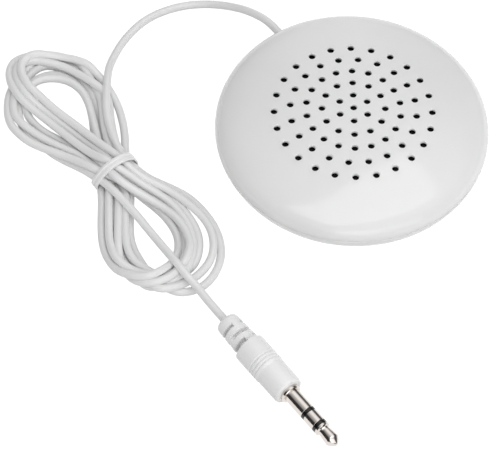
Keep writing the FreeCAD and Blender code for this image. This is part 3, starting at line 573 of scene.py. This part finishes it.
# Slots: three rings cut into the sleeve, each in two sectors that leave two webs between them.
# The webs of the middle ring stand crosswise to those of the other two, so that the sleeve bends every way.
SLOT_SPAN = 140
SLOT_STEPS = 24
WEB_SPAN = 180 - SLOT_SPAN
SLOT_FLOOR = 1.25
slot_bm = bmesh.new()
for place, web in ((-19.8, 13), (-17.6, 103), (-15.45, 13)):
    rising = [(SLOT_FLOOR, 0.45), (2.5, 0.45), (2.72, 0.49), (2.9, 0.6), (3.8, 1.1)]
    ring = [(radius, place - half_width) for radius, half_width in rising]
    ring += [(radius, place + half_width) for radius, half_width in rising[::-1]]
    for half in (0, 180):
        loops = []
        for step in range(SLOT_STEPS + 1):
            turn = math.radians(half - web + WEB_SPAN / 2 + SLOT_SPAN * step / SLOT_STEPS)
            out = plug_side * math.cos(turn) + plug_level * math.sin(turn)
            loops.append([slot_bm.verts.new((PLUG_FACE + PLUG_DIRECTION * reach + out * radius) * MM)
                          for radius, reach in ring])
        for near, far in zip(loops, loops[1:]):
            for corner in range(len(ring)):
                after = (corner + 1) % len(ring)
                slot_bm.faces.new((near[corner], near[after], far[after], far[corner]))
        slot_bm.faces.new(loops[0])
        slot_bm.faces.new(loops[-1][::-1])
bmesh.ops.recalc_face_normals(slot_bm, faces=slot_bm.faces)
grip_mesh = cut(grip_mesh, mesh_of(slot_bm, "slots"))

# Moulded soft PVC: a slightly brighter white than the cord, satin, with broad dull highlights
plug_pvc = plain_finish("satin_white_plug_pvc", ("#EFEFEF", "#F3F3F3"), 0.34, 0.8, 0.003)
grip = place_piece("plug_grip", grip_mesh, plug_pvc)
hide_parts("plug_overmould")

# Pin: brass, turned and nickel plated, in three contacts parted by black plastic rings.
# Its rear is held in the plug's moulding, and a wider collar shows in front of that.
PIN_RADIUS = 1.75
EASED_RADIUS = 1.7
EASING = 0.05
RING_RADIUS = 1.72
REAR_RING = (5.2, 6.05)
FRONT_RING = (8.95, 9.8)
PIN_LENGTH = 15.0
MARKS_SIZE = 1.111
MARKS_HEIGHT = 0.004


def plated(name, colour, roughness):
    """Plated metal with faint marks from its working."""
    material = new_material(name)
    place = add_node(material, "ShaderNodeTexCoord").outputs["Object"]
    marks = add_node(material, "ShaderNodeTexNoise", Vector=place, Scale=1 / (MARKS_SIZE * MM), Detail=4.0)
    bump = add_node(material, "ShaderNodeBump", Height=marks.outputs["Fac"], Strength=1.0,
                    Distance=MARKS_HEIGHT * MM)
    skin = add_node(material, "ShaderNodeBsdfPrincipled", Base_Color=linear(colour), Metallic=1.0,
                    Roughness=roughness, Normal=bump.outputs[0])
    add_node(material, "ShaderNodeOutputMaterial", Surface=skin.outputs[0])
    return material


# Polished nickel plate: a slightly warm mirror that shows the room as dark and bright stripes
nickel = plated("polished_nickel_plate", "#D6CFCA", 0.1)

# Moulded black plastic: near black, with a narrow highlight
black_ring = plain_finish("black_ring_plastic", ("#0C0C0C", "#101010"), 0.2, 0.4, 0.004)


def ring_profile(rear, front):
    """(radius, height) points of an insulating ring."""
    return [(0, rear), (RING_RADIUS, rear), (RING_RADIUS, front), (0, front)]


pin_pieces = (
    ("pin_sleeve", "jack_shaft", "pin_metal", nickel,
     [(0, -2.0), (2.2, -2.0), (2.3, -0.9), (2.3, -0.15), (2.2, 0.0), (PIN_RADIUS, 0.0),
      (PIN_RADIUS, REAR_RING[0] - EASING), (EASED_RADIUS, REAR_RING[0]), (0, REAR_RING[0])]),
    ("pin_rear_ring", "jack_insulator_rear", "pin_insulator", black_ring, ring_profile(*REAR_RING)),
    ("pin_contact", "jack_contact_ring", "pin_metal", nickel,
     [(0, REAR_RING[1]), (EASED_RADIUS, REAR_RING[1]), (PIN_RADIUS, REAR_RING[1] + EASING),
      (PIN_RADIUS, FRONT_RING[0] - EASING), (EASED_RADIUS, FRONT_RING[0]), (0, FRONT_RING[0])]),
    ("pin_front_ring", "jack_insulator_front", "pin_insulator", black_ring, ring_profile(*FRONT_RING)),
    ("pin_tip", "jack_tip", "pin_metal", nickel,
     [(0, FRONT_RING[1]), (EASED_RADIUS, FRONT_RING[1]), (PIN_RADIUS, FRONT_RING[1] + EASING),
      (PIN_RADIUS, 10.3), (1.6, 10.45), (1.38, 10.6), (1.3, 10.85), (1.36, 11.2), (1.48, 12.2), (1.58, 13.2),
      (1.6, 13.45), (1.55, 13.65), (1.05, 14.35), (0.6, 14.75), (0.42, 14.9),
      (0.2, PIN_LENGTH), (0, PIN_LENGTH)]),
)
for name, node, slot, material, profile in pin_pieces:
    mesh = spun(name + "_mesh", profile, 64, PLUG_FACE, PLUG_DIRECTION, plug_side)
    piece = place_piece(name, mesh, material, 30)
    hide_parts(node)

# Tie: a soft white band closed round the hank's waist, arched over the strands.
# Its two edges stand up a little as thin beads.
TIE_TURN = math.radians(34.5)
TIE_CENTRE = Vector((-51.8, -8.8, 0.0))
TIE_MIDDLE = 3.0
TIE_THICKNESS = 0.45
across = Vector((math.cos(TIE_TURN), math.sin(TIE_TURN), 0))
along = Vector((-math.sin(TIE_TURN), math.cos(TIE_TURN), 0))
tie_outline = [(-3.6, 0.6), (-4.6, 1.1), (-5.15, 2.0), (-4.95, 2.9), (-4.2, 3.95), (-3.1, 5.0),
               (-2.0, 5.8), (-0.7, 6.2), (0.6, 6.35), (1.9, 6.3), (2.9, 6.0), (3.9, 5.4), (4.55, 4.5),
               (4.95, 3.4), (5.1, 2.1), (4.9, 1.0), (4.2, 0.5), (1.5, 0.45), (-1.5, 0.45)]

# The smoothed line overlaps itself, so it ends where it comes back to its start
tie_loop = [(wide, high, 0) for wide, high in tie_outline[-2:] + tie_outline + tie_outline[:2]]
tie_path = smooth_line(tie_loop, 0.25)
from_start = np.linalg.norm(tie_path - tie_path[0], axis=1)
halfway = len(tie_path) // 2
tie_path = tie_path[:1 + halfway + int(np.argmin(from_start[halfway:]))]

# Across its width the band is flat in the middle, with a bead that rises along each edge
half_band = [(0.0, 0.0), (0.44, 0.03), (0.54, 0.14), (0.65, 0.13), (0.7, 0.02)]
band = [(-shift, rise) for shift, rise in half_band[:0:-1]] + half_band
tie_bm = bmesh.new()
rows = []
for shift, rise in band:
    row = []
    for wide, high, _ in tie_path:
        outward = Vector((wide, high - TIE_MIDDLE)).normalized() * rise
        row.append(tie_bm.verts.new((TIE_CENTRE + across * (wide + outward.x) + along * shift
                                     + Vector((0, 0, high + outward.y))) * MM))
    rows.append(row)
for lower, upper in zip(rows, rows[1:]):
    for step in range(len(tie_path)):
        after = (step + 1) % len(tie_path)
        tie_bm.faces.new((lower[step], lower[after], upper[after], upper[step]))
bmesh.ops.recalc_face_normals(tie_bm, faces=tie_bm.faces)
tie_mesh = mesh_of(tie_bm, "tie_mesh")

# Moulded soft plastic: nearly as bright a white as the plug's, with a thin sheen on each bead
tie_plastic = plain_finish("soft_white_band", ("#EEEEEE", "#F2F2F2"), 0.3, 0.6, 0.003)
tie = place_piece("hank_band", tie_mesh, tie_plastic)
wall = tie.modifiers.new("wall", "SOLIDIFY")
wall.thickness = TIE_THICKNESS * MM
wall.offset = 1
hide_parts("hank_tie")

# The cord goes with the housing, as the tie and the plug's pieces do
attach(cord, "root")
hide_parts("cord_lead", "cord_hank", "cord_tail")

# Inside the housing: a driver with its magnet and film, held up under its ledge by a foam pad,
# and the board, wires, cord stop and screws. Little of them is seen through the holes,
# so they keep their own solids and get their finishes.

# Pressed steel, zinc plated: a dull grey that mirrors softly
steel = plated("pressed_zinc_steel", "#A9A9A9", 0.35)
plain = {
    # Woven black cloth: dull, so that the holes look black
    "dust_cloth": plain_finish("black_speaker_cloth", ("#0A0A0B", "#161617"), 0.95, 0.35, 0.05),
    "cover_screws": steel,
    "driver_basket": steel,
    "driver_yoke": steel,
    "driver_magnet": nickel,
    "pole_plate": steel,
    "solder_tabs": steel,
    # Pressed black card: matt with a fine tooth
    "driver_gasket": plain_finish("black_card", ("#201D1A", "#2A2622"), 0.85, 0.3, 0.02),
    # Pressed film: cream with a clear gloss
    "driver_diaphragm": plain_finish("pressed_film", ("#C8BE9E", "#D2C9AC"), 0.22, 1.5, 0.01),
    # Enamelled copper wire, wound: a warm red metal
    "voice_coil": plated("enamelled_copper", "#B4653C", 0.3),
    # Cut black foam: matt and coarse
    "backing_pad": plain_finish("black_foam", ("#141414", "#222222"), 0.95, 0.4, 0.1),
    # Pressed paper board: dull brown
    "terminal_board": plain_finish("brown_board", ("#7A5A2A", "#86652F"), 0.6, 0.5, 0.01),
    # Extruded insulation: one wire red and one black, both satin
    "lead_wire_left": plain_finish("red_wire", ("#A01812", "#AA1E16"), 0.35, 0.5, 0.01),
    "lead_wire_right": plain_finish("black_wire", ("#101010", "#181818"), 0.35, 0.5, 0.01),
    "cord_stop": plug_pvc,
}
for node, material in plain.items():
    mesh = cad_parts[node].data
    mesh.materials.clear()
    mesh.materials.append(material)
